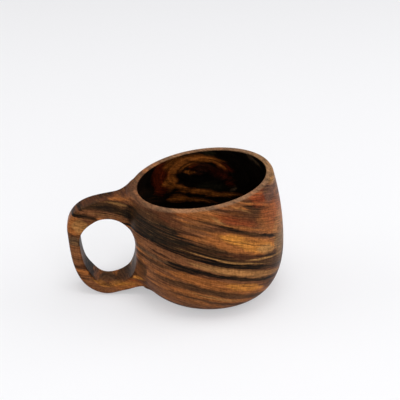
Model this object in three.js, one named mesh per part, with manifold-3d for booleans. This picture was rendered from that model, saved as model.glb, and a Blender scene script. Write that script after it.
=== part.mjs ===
import * as THREE from 'three';
import { LoftGeometry } from 'three/addons/geometries/LoftGeometry.js';
import { mergeVertices } from 'three/addons/utils/BufferGeometryUtils.js';
import Module from 'manifold-3d';

// A wooden mug: a turned bowl that leans a little, its rim sawn on a slant, and a carved loop
// handle coped to its side, glued and pinned with two hidden dowels.
// Millimetres. +Z is up, the origin is the centre of the foot on the table, the handle is on -X.

// Bowl, outside
const BOWL_DIAMETER = 88;
const BELLY_HEIGHT = 34;
const FOOT_DIAMETER = 48;
const HEEL_FULLNESS = 2.4;
const HEEL_SWELL = 2.2;
const NECK_DIAMETER = 80.3;
const RIM_HEIGHT = 68.5;
const RIM_TILT = THREE.MathUtils.degToRad(8.3);
const LEAN = THREE.MathUtils.degToRad(3.05);

// Bowl, inside
const MOUTH_DIAMETER = 72.2;
const HOLLOW_DIAMETER = 73.4;
const HOLLOW_BELLY_HEIGHT = 36;
const HOLLOW_OFFSET = 0.6;
const FLOOR_THICKNESS = 8;
const HOLLOW_FULLNESS = 2.4;

// Handle, seen from the side
const TABLE_CLEARANCE = 0.3;
const LOWER_ARM_HEIGHT = 4.6;
const UPPER_ARM_HEIGHT = 9.6;
const UPPER_ARM_DROP = 2;
const SHOULDER_THICKNESS = 9.6;
const GRIP_THICKNESS = 5;
const HEEL_THICKNESS = 6.7;
const UPPER_ROOT_HEIGHT = 13.5;
const LOWER_ROOT_HEIGHT = 5.8;
const FINGER_HOLE_WIDTH = 32.4;
const FINGER_HOLE_BITE = 4.3;

// Handle, seen from above
const ARM_WIDTH = 18.6;
const ARM_TOP_WIDTH = 9.2;
const SHOULDER_TOP_WIDTH = 12;
const GRIP_WIDTH = 15;
const GRIP_BACK_WIDTH = 14;
const LOWER_ARM_FOOT_WIDTH = 20.6;
const UPPER_FLARE_WIDTH = 31;
const LOWER_FLARE_WIDTH = 39;
const CRISP_EDGE = 1;
const SOFT_EDGE = 2.2;

// Joint
const GLUE_GAP = 0.3;
const DOWEL_DIAMETER = 6;
const LOWER_DOWEL_DIAMETER = 3;
const UPPER_DOWEL_LENGTH = 13;
const UPPER_DOWEL_SEAT = 3.4;
const LOWER_DOWEL_LENGTH = 13;
const LOWER_DOWEL_SEAT = 7;
const LOWER_DOWEL_HEIGHT = 10;
const LOWER_DOWEL_PITCH = THREE.MathUtils.degToRad(30);

// Fineness of the facets
const TURNING_STEPS = 88;
const PROFILE_STEPS = 9;
const STEPS_PER_STATION = 5;
const ROUND_STEPS = 2;
const DOWEL_SIDES = 24;

const wasm = await Module();
wasm.setup();

// Solids

function toSolid(geometry) {
  const bare = new THREE.BufferGeometry();
  bare.setAttribute('position', geometry.attributes.position);
  bare.setIndex(geometry.index);
  const merged = mergeVertices(bare, 1e-4);
  const corners = merged.index.array;
  const triangles = [];
  for (let i = 0; i < corners.length; i += 3) {
    const [a, b, c] = corners.slice(i, i + 3);
    if (a !== b && b !== c && c !== a) triangles.push(a, b, c);
  }
  const vertProperties = new Float32Array(merged.attributes.position.array);
  const triVerts = new Uint32Array(triangles);
  return new wasm.Manifold(new wasm.Mesh({ numProp: 3, vertProperties, triVerts }));
}

function toGeometry(solid) {
  const { vertProperties, triVerts } = solid.getMesh();
  const geometry = new THREE.BufferGeometry();
  geometry.setAttribute('position', new THREE.BufferAttribute(vertProperties, 3));
  geometry.setIndex(new THREE.BufferAttribute(triVerts, 1));
  geometry.computeVertexNormals();
  return geometry;
}

// Bowl

const bellyRadius = BOWL_DIAMETER / 2;
const footRadius = FOOT_DIAMETER / 2;
const rimAt = (x) => RIM_HEIGHT + Math.tan(RIM_TILT) * x;
const axisAt = (z) => -Math.tan(LEAN) * z;
const topHeight = rimAt(bellyRadius) + GLUE_GAP;

// The round lower part of a turned profile: from a flat of radius inner at low up to the belly.
function lowerCurve(inner, outer, low, high, fullness, swell) {
  const points = [];
  for (let i = 0; i <= PROFILE_STEPS; i++) {
    const turn = (i / PROFILE_STEPS) * (Math.PI / 2);
    const down = Math.cos(turn) ** (2 / fullness);
    const out = Math.sin(turn) ** (2 / swell);
    points.push(new THREE.Vector2(inner + (outer - inner) * out, high - (high - low) * down));
  }
  return points;
}

// The upper part draws in from the belly to the neck, and on past it, as a parabola.
function upperCurve(belly, neck, bellyHeight, neckHeight, top) {
  const points = [];
  for (let i = 1; i <= PROFILE_STEPS; i++) {
    const z = bellyHeight + (top - bellyHeight) * (i / PROFILE_STEPS);
    const rise = (z - bellyHeight) / (neckHeight - bellyHeight);
    points.push(new THREE.Vector2(belly - (belly - neck) * rise ** 2, z));
  }
  return points;
}

// A profile is turned round the upright axis and then leans towards the handle.
function turned(profile, shift = 0) {
  const closed = [new THREE.Vector2(0, profile[0].y), ...profile, new THREE.Vector2(0, profile.at(-1).y)];
  const geometry = new THREE.LatheGeometry(closed, TURNING_STEPS);
  geometry.rotateX(Math.PI / 2);
  geometry.applyMatrix4(new THREE.Matrix4().makeShear(0, 0, 0, 0, -Math.tan(LEAN), 0));
  geometry.translate(-shift, 0, 0);
  return toSolid(geometry);
}

// The turned body before it is hollowed, or the same grown all round by a gap.
function bowlBlank(gap = 0) {
  const lower = lowerCurve(footRadius + gap, bellyRadius + gap, -gap, BELLY_HEIGHT, HEEL_FULLNESS, HEEL_SWELL);
  const upper = upperCurve(bellyRadius + gap, NECK_DIAMETER / 2 + gap, BELLY_HEIGHT, RIM_HEIGHT, topHeight);
  return turned([...lower, ...upper]);
}

function hollow() {
  const belly = HOLLOW_DIAMETER / 2;
  const mouth = MOUTH_DIAMETER / 2;
  const lower = lowerCurve(0, belly, FLOOR_THICKNESS, HOLLOW_BELLY_HEIGHT, HOLLOW_FULLNESS, HOLLOW_FULLNESS);
  const upper = upperCurve(belly, mouth, HOLLOW_BELLY_HEIGHT, RIM_HEIGHT, topHeight + GLUE_GAP);
  return turned([...lower.slice(1), ...upper], HOLLOW_OFFSET);
}

// Everything above the slanted saw cut that makes the rim and levels the handle's root.
function aboveRim() {
  const size = 3 * BOWL_DIAMETER;
  const geometry = new THREE.BoxGeometry(size, size, size).toNonIndexed();
  geometry.translate(0, 0, size / 2);
  geometry.rotateY(-RIM_TILT);
  geometry.translate(0, 0, RIM_HEIGHT);
  return toSolid(geometry);
}

// Handle

// The finger hole grazes the bowl, and lies between the two arms.
const holeBottom = TABLE_CLEARANCE + LOWER_ARM_HEIGHT;
const bowlSide = axisAt(BELLY_HEIGHT) - bellyRadius;
const holeX = bowlSide + FINGER_HOLE_BITE - FINGER_HOLE_WIDTH / 2;
const holeTop = rimAt(holeX) - UPPER_ARM_DROP - UPPER_ARM_HEIGHT;
const holeZ = (holeTop + holeBottom) / 2;
const holeHalf = new THREE.Vector2(FINGER_HOLE_WIDTH / 2, (holeTop - holeBottom) / 2);

// The loop is lofted through these stations, anticlockwise round the finger hole from the bowl.
// Each has the hole's outline as shares of its half width and half height, the wood's thickness
// outwards from there, its half width at the hole and at the outside, and its outer edge's radius.
const arm = ARM_WIDTH / 2;
const armTop = ARM_TOP_WIDTH / 2;
const shoulderTop = SHOULDER_TOP_WIDTH / 2;
const grip = GRIP_WIDTH / 2;
const gripBack = GRIP_BACK_WIDTH / 2;
const armFoot = LOWER_ARM_FOOT_WIDTH / 2;
const upperFlare = UPPER_FLARE_WIDTH / 2;
const lowerFlare = LOWER_FLARE_WIDTH / 2;
const STATIONS = [
  // inside the bowl, where the loop is cut away
  [1, 0.22, GRIP_THICKNESS, 0.9 * lowerFlare, 0.9 * lowerFlare, CRISP_EDGE],
  [0.97, 0.47, 1.6 * GRIP_THICKNESS, 1.54 * arm, 1.54 * arm, CRISP_EDGE],
  [0.88, 0.65, UPPER_ROOT_HEIGHT, 1.22 * arm, 1.22 * arm, CRISP_EDGE],
  // upper arm, from the bowl out to its narrow waist and the shoulder
  [0.63, 0.82, 1.63 * UPPER_ROOT_HEIGHT, 1.03 * arm, upperFlare, CRISP_EDGE],
  [0.38, 0.94, UPPER_ROOT_HEIGHT, arm, 1.35 * armTop, CRISP_EDGE],
  [0.08, 1, UPPER_ARM_HEIGHT, arm, armTop, CRISP_EDGE],
  [-0.25, 0.98, 0.88 * UPPER_ARM_HEIGHT, arm, 1.17 * armTop, CRISP_EDGE],
  [-0.52, 0.87, 0.95 * UPPER_ARM_HEIGHT, 0.97 * arm, 1.26 * armTop, CRISP_EDGE],
  [-0.77, 0.71, SHOULDER_THICKNESS, 0.91 * arm, shoulderTop, 1.6 * CRISP_EDGE],
  // grip, down the outside
  [-0.95, 0.5, 0.86 * SHOULDER_THICKNESS, 1.05 * grip, 1.1 * shoulderTop, SOFT_EDGE],
  [-1, 0.3, 1.24 * GRIP_THICKNESS, grip, gripBack, SOFT_EDGE],
  [-0.97, -0.02, GRIP_THICKNESS, grip, gripBack, SOFT_EDGE],
  [-0.86, -0.4, 1.08 * GRIP_THICKNESS, grip, 1.09 * gripBack, SOFT_EDGE],
  [-0.6, -0.7, HEEL_THICKNESS, 1.1 * grip, 1.3 * gripBack, SOFT_EDGE],
  // lower arm, in along the table and up the flare to the bowl
  [-0.32, -0.94, 1.1 * LOWER_ARM_HEIGHT, 0.97 * arm, 0.96 * armFoot, 0.7 * SOFT_EDGE],
  [0, -1, LOWER_ARM_HEIGHT, arm, armFoot, 0.7 * SOFT_EDGE],
  [0.35, -0.94, 0.96 * LOWER_ARM_HEIGHT, arm, armFoot, 0.7 * SOFT_EDGE],
  [0.6, -0.84, LOWER_ROOT_HEIGHT, 1.01 * arm, 1.04 * armFoot, 0.7 * SOFT_EDGE],
  [0.79, -0.71, 1.3 * LOWER_ROOT_HEIGHT, 1.09 * arm, 1.23 * armFoot, SOFT_EDGE],
  [0.91, -0.52, 2 * LOWER_ROOT_HEIGHT, 1.24 * arm, 1.52 * armFoot, SOFT_EDGE],
  [0.96, -0.36, 1.76 * LOWER_ROOT_HEIGHT, 1.39 * arm, 0.96 * lowerFlare, CRISP_EDGE],
  [0.99, -0.05, 1.4 * GRIP_THICKNESS, 1.69 * arm, lowerFlare, CRISP_EDGE],
];

// A smooth closed curve through the stations, read at a place such as 2.4 for past the third one.
function stationAt(place) {
  const count = STATIONS.length;
  const first = Math.floor(place);
  const [before, from, to, after] = [-1, 0, 1, 2].map((step) => STATIONS[(first + step + count) % count]);
  const t = place - first;
  return from.map((value, column) => {
    const slopeIn = (to[column] - before[column]) / 2;
    const slopeOut = (after[column] - value) / 2;
    const rise = to[column] - value;
    return value + t * (slopeIn + t * (3 * rise - 2 * slopeIn - slopeOut + t * (slopeIn + slopeOut - 2 * rise)));
  });
}

const places = Array.from({ length: STATIONS.length * STEPS_PER_STATION }, (_, i) => i / STEPS_PER_STATION);

// The cross-section at a place: a four-sided section, its corners rounded.
function sectionAt(place) {
  const [across, up, thickness, holeHalfWidth, outerHalfWidth, edge] = stationAt(place);
  const spoke = new THREE.Vector2(across, up).multiply(holeHalf);
  const inner = spoke.length();
  const outwards = spoke.clone().normalize();
  const corners = [
    [new THREE.Vector2(inner, -holeHalfWidth), CRISP_EDGE],
    [new THREE.Vector2(inner + thickness, -outerHalfWidth), edge],
    [new THREE.Vector2(inner + thickness, outerHalfWidth), edge],
    [new THREE.Vector2(inner, holeHalfWidth), CRISP_EDGE],
  ];
  const rounded = corners.flatMap(([corner, radius], i) => {
    const towards = (other) => other.clone().sub(corner).setLength(radius).add(corner);
    const start = towards(corners.at(i - 1)[0]);
    const end = towards(corners[(i + 1) % corners.length][0]);
    return new THREE.QuadraticBezierCurve(start, corner, end).getPoints(ROUND_STEPS);
  });
  return rounded.map((p) => new THREE.Vector3(holeX + outwards.x * p.x, p.y, holeZ + outwards.y * p.x));
}

// The loop as sawn and shaped all the way round, before it is coped to the bowl.
function loopBlank() {
  const sections = places.map(sectionAt);
  return toSolid(new LoftGeometry([...sections, sections[0]]));
}

// What the finger hole takes out of the bowl's side.
function fingerHole() {
  const outline = new THREE.Shape(places.map((place) => {
    const [across, up] = stationAt(place);
    return new THREE.Vector2(across, up).multiply(holeHalf);
  }));
  const geometry = new THREE.ExtrudeGeometry(outline, { depth: 2 * BOWL_DIAMETER, bevelEnabled: false });
  geometry.translate(0, 0, -BOWL_DIAMETER);
  geometry.rotateX(Math.PI / 2);
  geometry.translate(holeX, 0, holeZ);
  return toSolid(geometry);
}

// Dowels

// A dowel starts at seat inside the bowl's face and runs out into the arm, pitched down from level.
function dowelPlan(diameter, length, seat, height, pitch, faceX) {
  const out = new THREE.Vector3(-Math.cos(pitch), 0, -Math.sin(pitch));
  const middle = new THREE.Vector3(faceX, 0, height).addScaledVector(out, length / 2 - seat);
  return { diameter, length, pitch, middle };
}

// The radius of the bowl's outside at a height below the rim.
function outerRadius(z) {
  if (z < BELLY_HEIGHT) {
    const down = 1 - z / BELLY_HEIGHT;
    return footRadius + (bellyRadius - footRadius) * (1 - down ** HEEL_FULLNESS) ** (1 / HEEL_SWELL);
  }
  const rise = (z - BELLY_HEIGHT) / (RIM_HEIGHT - BELLY_HEIGHT);
  return bellyRadius - (bellyRadius - NECK_DIAMETER / 2) * rise ** 2;
}

const sideAt = (z) => axisAt(z) - outerRadius(z);
const upperDowelHeight = holeTop + UPPER_ARM_HEIGHT / 2;
const upperDowel = dowelPlan(
  DOWEL_DIAMETER, UPPER_DOWEL_LENGTH, UPPER_DOWEL_SEAT, upperDowelHeight, 0, sideAt(upperDowelHeight),
);
const lowerDowel = dowelPlan(
  LOWER_DOWEL_DIAMETER, LOWER_DOWEL_LENGTH, LOWER_DOWEL_SEAT, LOWER_DOWEL_HEIGHT, LOWER_DOWEL_PITCH,
  sideAt(LOWER_DOWEL_HEIGHT),
);

function dowelGeometry(plan, gap = 0) {
  const radius = plan.diameter / 2 + gap;
  return new THREE.CylinderGeometry(radius, radius, plan.length + 2 * gap, DOWEL_SIDES);
}

function placeDowel(object, plan) {
  object.rotation.set(0, -plan.pitch, Math.PI / 2, 'YZX');
  object.position.copy(plan.middle);
  object.updateMatrix();
  return object;
}

function dowelHole(plan) {
  const hole = placeDowel(new THREE.Object3D(), plan);
  return toSolid(dowelGeometry(plan, GLUE_GAP).applyMatrix4(hole.matrix));
}

// Pieces

const dowelHoles = dowelHole(upperDowel).add(dowelHole(lowerDowel));
const sawnOff = aboveRim();
const bowl = bowlBlank().subtract(sawnOff).subtract(hollow()).subtract(fingerHole()).subtract(dowelHoles);
const handle = loopBlank().subtract(sawnOff).subtract(bowlBlank(GLUE_GAP)).subtract(dowelHoles);

// Oiled, dark-figured hardwood for the two carved pieces, and plain beech for the pins.
const bowlWood = new THREE.MeshStandardMaterial({ color: 0x6e4526, roughness: 0.5, metalness: 0 });
const handleWood = new THREE.MeshStandardMaterial({ color: 0x7a4c29, roughness: 0.5, metalness: 0 });
const dowelWood = new THREE.MeshStandardMaterial({ color: 0xcfa878, roughness: 0.7, metalness: 0 });

const mug = new THREE.Group();

function addPiece(name, geometry, material) {
  const mesh = new THREE.Mesh(geometry, material);
  mesh.name = name;
  mug.add(mesh);
  return mesh;
}

addPiece('bowl', toGeometry(bowl), bowlWood);
addPiece('handle', toGeometry(handle), handleWood);
placeDowel(addPiece('upper_dowel', dowelGeometry(upperDowel), dowelWood), upperDowel);
placeDowel(addPiece('lower_dowel', dowelGeometry(lowerDowel), dowelWood), lowerDowel);

export default mug;
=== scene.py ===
# %% [markdown]
# # A wooden mug with a slanted rim and a loop handle
#
# The mug is a thick-walled bowl of dark-figured acacia, turned round, leaning a little towards its
# handle, and sawn off on a slant at the top. The handle is a carved loop whose two arms run into
# the bowl without a seam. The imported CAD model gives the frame: its four solids say where things
# are and how big they are, and the two that show are rebuilt here with softer, fuller surfaces.

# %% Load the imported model
import math

import bmesh
import bpy
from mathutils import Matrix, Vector


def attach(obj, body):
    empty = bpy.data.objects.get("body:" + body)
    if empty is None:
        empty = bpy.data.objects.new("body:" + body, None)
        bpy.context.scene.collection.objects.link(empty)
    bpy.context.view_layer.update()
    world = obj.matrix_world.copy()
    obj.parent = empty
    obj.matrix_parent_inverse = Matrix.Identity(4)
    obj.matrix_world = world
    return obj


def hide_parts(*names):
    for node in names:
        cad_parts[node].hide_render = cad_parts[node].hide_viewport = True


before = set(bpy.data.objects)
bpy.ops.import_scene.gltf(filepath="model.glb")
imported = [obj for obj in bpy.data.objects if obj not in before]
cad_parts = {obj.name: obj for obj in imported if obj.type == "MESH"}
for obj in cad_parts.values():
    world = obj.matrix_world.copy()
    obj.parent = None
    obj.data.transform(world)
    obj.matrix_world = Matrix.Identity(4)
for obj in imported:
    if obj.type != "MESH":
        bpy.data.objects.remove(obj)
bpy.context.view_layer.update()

MM = 0.001
print("CAD nodes:", sorted(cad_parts))

# %% [markdown]
# ## The camera
#
# The photograph was taken from about half a metre, a little above the mug and almost square to the
# handle's plane. The camera is placed by its angles and its distance from a point that it looks
# at, so that each number can be read as a photographer would say it.

# %% Place the camera
CAMERA_TURN = math.radians(-3.5)
CAMERA_HEIGHT = math.radians(26.316)
CAMERA_DISTANCE = 619.64 * MM
CAMERA_TARGET = Vector((-5.124, 0, 53.959)) * MM
FOCAL_LENGTH = 99.6

backwards = Vector((
    math.sin(CAMERA_TURN) * math.cos(CAMERA_HEIGHT),
    -math.cos(CAMERA_TURN) * math.cos(CAMERA_HEIGHT),
    math.sin(CAMERA_HEIGHT),
))
camera = bpy.data.objects.new("camera", bpy.data.cameras.new("camera"))
camera.data.lens = FOCAL_LENGTH
camera.data.sensor_width = 36
camera.data.clip_start = 0.01
camera.location = CAMERA_TARGET + backwards * CAMERA_DISTANCE
camera.rotation_euler = backwards.to_track_quat("Z", "Y").to_euler()
bpy.context.scene.collection.objects.link(camera)
bpy.context.scene.camera = camera
print("camera at", [round(v, 4) for v in camera.location])

# %% [markdown]
# ## The bowl's shape in numbers
#
# A turner thinks of a bowl as two curves, the outside and the hollow. Here each curve is a radius
# for a height. Below the belly both are rounded squares, which gives the full heel; above it they
# draw in slowly, as a parabola. The axis leans, so it has an x for each height, and the rim is a
# slanted plane. The values are the CAD model's, in millimetres, with a belly that is a hair
# slimmer, so that nothing reaches past the CAD model's box.

# %% Bowl measures
BELLY_RADIUS = 43.96
BELLY_HEIGHT = 34.0
FOOT_RADIUS = 24.0
HEEL_FULLNESS = 2.4
HEEL_SWELL = 2.2
NECK_RADIUS = 40.15
RIM_HEIGHT = 68.5
RIM_TILT = math.radians(8.3)
LEAN = math.radians(3.05)
MOUTH_RADIUS = 36.1
HOLLOW_RADIUS = 36.7
HOLLOW_BELLY_HEIGHT = 36.0
HOLLOW_OFFSET = 0.6
FLOOR_THICKNESS = 8.0
HOLLOW_FULLNESS = 2.4
RIM_OUTER_ROUND = 1.5
RIM_INNER_ROUND = 0.6


def rim_at(x):
    return RIM_HEIGHT + math.tan(RIM_TILT) * x


def axis_at(z):
    return -math.tan(LEAN) * z


def outer_radius(z):
    if z < BELLY_HEIGHT:
        down = 1 - max(z, 0.0) / BELLY_HEIGHT
        share = (1 - down ** HEEL_FULLNESS) ** (1 / HEEL_SWELL)
        return FOOT_RADIUS + (BELLY_RADIUS - FOOT_RADIUS) * share
    rise = (z - BELLY_HEIGHT) / (RIM_HEIGHT - BELLY_HEIGHT)
    return BELLY_RADIUS - (BELLY_RADIUS - NECK_RADIUS) * rise ** 2


def inner_radius(z):
    if z < HOLLOW_BELLY_HEIGHT:
        down = min((HOLLOW_BELLY_HEIGHT - z) / (HOLLOW_BELLY_HEIGHT - FLOOR_THICKNESS), 1.0)
        return HOLLOW_RADIUS * (1 - down ** HOLLOW_FULLNESS) ** (1 / HOLLOW_FULLNESS)
    rise = (z - HOLLOW_BELLY_HEIGHT) / (RIM_HEIGHT - HOLLOW_BELLY_HEIGHT)
    return HOLLOW_RADIUS - (HOLLOW_RADIUS - MOUTH_RADIUS) * rise ** 2


print("wall at mid height:", round(outer_radius(34) - inner_radius(34), 2), "mm")

# %% [markdown]
# ## The handle's shape in numbers
#
# The loop follows the finger hole. Going once round the hole, each station below gives the hole's
# outline as shares of its half width and half height, the wood's thickness outwards from there,
# its half width at the hole and at the outside, and the radius of its outer edges. A smooth curve
# through the stations gives every section in between. Shoulder, grip and heel are up to a
# millimetre fuller than the CAD model's, because the photograph's outline is.

# %% Handle measures
HOLE_HALF_WIDTH = 15.75
HOLE_BITE = 4.2
HOLE_BOTTOM = 4.9
UPPER_ARM_DROP = 1.8
UPPER_ARM = 10.4
LOWER_ARM = 4.6
SHOULDER = 10.8
GRIP = 5.6
HEEL = 7.7
UPPER_ROOT = 13.5
LOWER_ROOT = 5.8
ARM = 9.3
ARM_TOP = 5.0
SHOULDER_TOP = 6.0
GRIP_SIDE = 7.5
GRIP_BACK = 7.0
ARM_FOOT = 10.3
UPPER_FLARE = 15.5
LOWER_FLARE = 19.5
CRISP = 1.0
SOFT = 2.2

hole_x = axis_at(BELLY_HEIGHT) - BELLY_RADIUS + HOLE_BITE - HOLE_HALF_WIDTH
hole_top = rim_at(hole_x) - UPPER_ARM_DROP - UPPER_ARM
hole_z = (hole_top + HOLE_BOTTOM) / 2
hole_half_height = (hole_top - HOLE_BOTTOM) / 2

STATIONS = [
    # inside the bowl
    (1, 0.22, GRIP, 0.9 * LOWER_FLARE, 0.9 * LOWER_FLARE, CRISP),
    (0.97, 0.47, 1.6 * GRIP, 1.54 * ARM, 1.54 * ARM, CRISP),
    (0.88, 0.65, UPPER_ROOT, 1.22 * ARM, 1.22 * ARM, CRISP),
    # upper arm, from the bowl out to its narrow waist and the shoulder
    (0.63, 0.82, 1.63 * UPPER_ROOT, 1.03 * ARM, UPPER_FLARE, CRISP),
    (0.38, 0.94, UPPER_ROOT, ARM, 1.35 * ARM_TOP, CRISP),
    (0.08, 1, UPPER_ARM, ARM, ARM_TOP, CRISP),
    (-0.25, 0.98, 0.88 * UPPER_ARM, ARM, 1.17 * ARM_TOP, CRISP),
    (-0.52, 0.87, 0.95 * UPPER_ARM, 0.97 * ARM, 1.26 * ARM_TOP, CRISP),
    (-0.77, 0.71, SHOULDER, 0.91 * ARM, SHOULDER_TOP, 1.6 * CRISP),
    # grip, down the outside
    (-0.95, 0.5, 0.86 * SHOULDER, 1.05 * GRIP_SIDE, 1.1 * SHOULDER_TOP, SOFT),
    (-1, 0.3, 1.24 * GRIP, GRIP_SIDE, GRIP_BACK, SOFT),
    (-0.97, -0.02, 1.09 * GRIP, GRIP_SIDE, GRIP_BACK, SOFT),
    (-0.86, -0.4, 1.16 * GRIP, GRIP_SIDE, 1.09 * GRIP_BACK, SOFT),
    (-0.6, -0.7, HEEL, 1.1 * GRIP_SIDE, 1.3 * GRIP_BACK, SOFT),
    # lower arm, in along the table and up the flare to the bowl
    (-0.32, -0.94, 1.1 * LOWER_ARM, 0.97 * ARM, 0.96 * ARM_FOOT, 0.7 * SOFT),
    (0, -1, LOWER_ARM, ARM, ARM_FOOT, 0.7 * SOFT),
    (0.35, -0.94, 0.96 * LOWER_ARM, ARM, ARM_FOOT, 0.7 * SOFT),
    (0.6, -0.84, LOWER_ROOT, 1.01 * ARM, 1.04 * ARM_FOOT, 0.7 * SOFT),
    (0.79, -0.71, 1.3 * LOWER_ROOT, 1.09 * ARM, 1.23 * ARM_FOOT, SOFT),
    (0.91, -0.52, 2 * LOWER_ROOT, 1.24 * ARM, 1.52 * ARM_FOOT, SOFT),
    (0.96, -0.36, 1.76 * LOWER_ROOT, 1.39 * ARM, 0.96 * LOWER_FLARE, CRISP),
    (0.99, -0.05, 1.4 * GRIP, 1.69 * ARM, LOWER_FLARE, CRISP),
]


def curve_at(place):
    """The curve through the stations, read at a place such as 2.4."""
    first = math.floor(place)
    before, start, stop, after = (STATIONS[(first + step) % len(STATIONS)] for step in (-1, 0, 1, 2))
    t = place - first
    values = []
    for a, b, c, d in zip(before, start, stop, after):
        slope_in = (c - a) / 2
        slope_out = (d - b) / 2
        rise = c - b
        values.append(b + t * (slope_in + t * (3 * rise - 2 * slope_in - slope_out
                                               + t * (slope_in + slope_out - 2 * rise))))
    return values


SANDING = 0.45


def station_at(place):
    """The curve with its last unevenness sanded out, by averaging over a short stretch."""
    ends = zip(curve_at(place - SANDING), curve_at(place), curve_at(place + SANDING))
    return [0.25 * before + 0.5 * middle + 0.25 * after for before, middle, after in ends]


print("finger hole:", 2 * HOLE_HALF_WIDTH, "x", round(2 * hole_half_height, 1), "mm")

# %% [markdown]
# To let the bowl and the handle flow into each other, each must know how far away the other is.
# For the handle that means: along which spoke from the hole's centre does a point lie, how far out
# on it, and how far from the section there. The spokes are kept in a fine table by their angle.

# %% Where a point lies on the loop
SPOKE_STEPS = 1440
PLACE_STEPS = 20
HALVINGS = 20

loop_places = []
for step in range(len(STATIONS) * PLACE_STEPS):
    station = station_at(step / PLACE_STEPS)
    across = station[0] * HOLE_HALF_WIDTH
    up = station[1] * hole_half_height
    loop_places.append((math.atan2(up, across) % math.tau, math.hypot(across, up), *station[2:]))
loop_places.sort()


def build_spokes():
    """Hole radius, thickness, inner and outer half width for each angle round the hole."""
    spokes = []
    count = len(loop_places)
    index = 0
    for step in range(SPOKE_STEPS):
        angle = math.tau * step / SPOKE_STEPS
        while index < count and loop_places[index][0] < angle:
            index += 1
        low = loop_places[index - 1]
        high = loop_places[index % count]
        gap = (high[0] - low[0]) % math.tau
        t = ((angle - low[0]) % math.tau) / gap if gap else 0
        spokes.append([a + (b - a) * t for a, b in zip(low[1:], high[1:])])
    return spokes


spokes = build_spokes()


def spoke_at(x, z):
    """The section that a point of the loop's plane lies in, and its distance from the centre."""
    turn = (math.atan2(z - hole_z, x - hole_x) % math.tau) / math.tau * SPOKE_STEPS
    low = int(turn) % SPOKE_STEPS
    t = turn - int(turn)
    mixed = [a + (b - a) * t for a, b in zip(spokes[low], spokes[(low + 1) % SPOKE_STEPS])]
    return mixed, math.hypot(x - hole_x, z - hole_z)


EDGE_STEP = 0.1


def find_hole_edge(z):
    """The x of the finger hole's side towards the bowl at a height, by halving the gap."""
    low = 0.0
    high = 1.1 * HOLE_HALF_WIDTH
    for _ in range(HALVINGS):
        middle = (low + high) / 2
        section, far = spoke_at(hole_x + middle, z)
        if far < section[0]:
            low = middle
        else:
            high = middle
    return hole_x + low


edge_count = int((hole_top - HOLE_BOTTOM) / EDGE_STEP) + 2
hole_edges = [find_hole_edge(HOLE_BOTTOM + EDGE_STEP * i) for i in range(edge_count)]


def hole_edge_x(z):
    """The same, read from the table; None above and below the hole."""
    if not HOLE_BOTTOM < z < hole_top:
        return None
    turn = (z - HOLE_BOTTOM) / EDGE_STEP
    low = int(turn)
    return hole_edges[low] + (hole_edges[low + 1] - hole_edges[low]) * (turn - low)


print("hole's edge at mid height: x =", round(hole_edge_x(hole_z), 2))

# %% [markdown]
# ## How two carved surfaces meet
#
# Where an arm runs into the bowl, the carver leaves a hollow fillet. With a and b as the distances
# from the two bare surfaces, the curve sqrt(a) + sqrt(b) = sqrt(k) leaves one surface smoothly at
# b = k and reaches the other smoothly at a = k. Both pieces are raised onto that same curve, and
# past its middle each goes straight on into the other, so no seam shows between them.

# %% Fillet
UPPER_FILLET = 3.0
LOWER_FILLET = 4.8
FILLET_CHANGE = (30, 48)


def smooth_step(low, high, value):
    t = min(max((value - low) / (high - low), 0.0), 1.0)
    return t * t * (3 - 2 * t)


def smooth_max(a, b, soft):
    reach = max(soft - abs(a - b), 0.0) / soft
    return max(a, b) + reach * reach * soft / 4


def fillet_rise(distance, k):
    """How far a surface is raised when the other surface is this far from the raised point."""
    if distance >= k:
        return 0.0
    if distance >= k / 4:
        return (math.sqrt(k) - math.sqrt(distance)) ** 2
    return k / 2 - max(distance, 0.0)


def fillet_size(z):
    return LOWER_FILLET + (UPPER_FILLET - LOWER_FILLET) * smooth_step(*FILLET_CHANGE, z)


def bowl_distance(x, y, z):
    """How far outside the bowl's bare round surface a point lies."""
    return math.hypot(x - axis_at(z), y) - outer_radius(z)


def handle_distance(x, y, z):
    """How far outside the loop's bare section a point lies, and how deep behind the hole's face."""
    (inner, thickness, near, far, _), reach = spoke_at(x, z)
    out = reach - inner
    share = min(max(out / thickness, 0.0), 1.0)
    sideways = abs(y) - (near + (far - near) * share)
    outwards = max(out - thickness, 0.0)
    if sideways <= 0:
        return (outwards if outwards > 0 else sideways), out
    lean = math.cos(math.atan2(near - far, thickness))
    return math.hypot(sideways * lean, outwards), out


# %% [markdown]
# ## The bowl
#
# On the real mug this is one block, turned on a lathe. A lathe is what spin does too: half of the
# bowl's section, drawn as a chain of edges, is swept round the axis. The finely stepped result is
# then moved point by point: the upper part slides up or down to the slanted rim, the axis leans,
# and the side under the handle is let in where the finger hole grazes it.

# %% Draw half of the bowl's section
TURNING_STEPS = 288
HEEL_POINTS = 56
SIDE_POINTS = 42
ROUND_POINTS = 6
FOOT_RINGS = (0.0, 8.0, 16.0)


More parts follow.
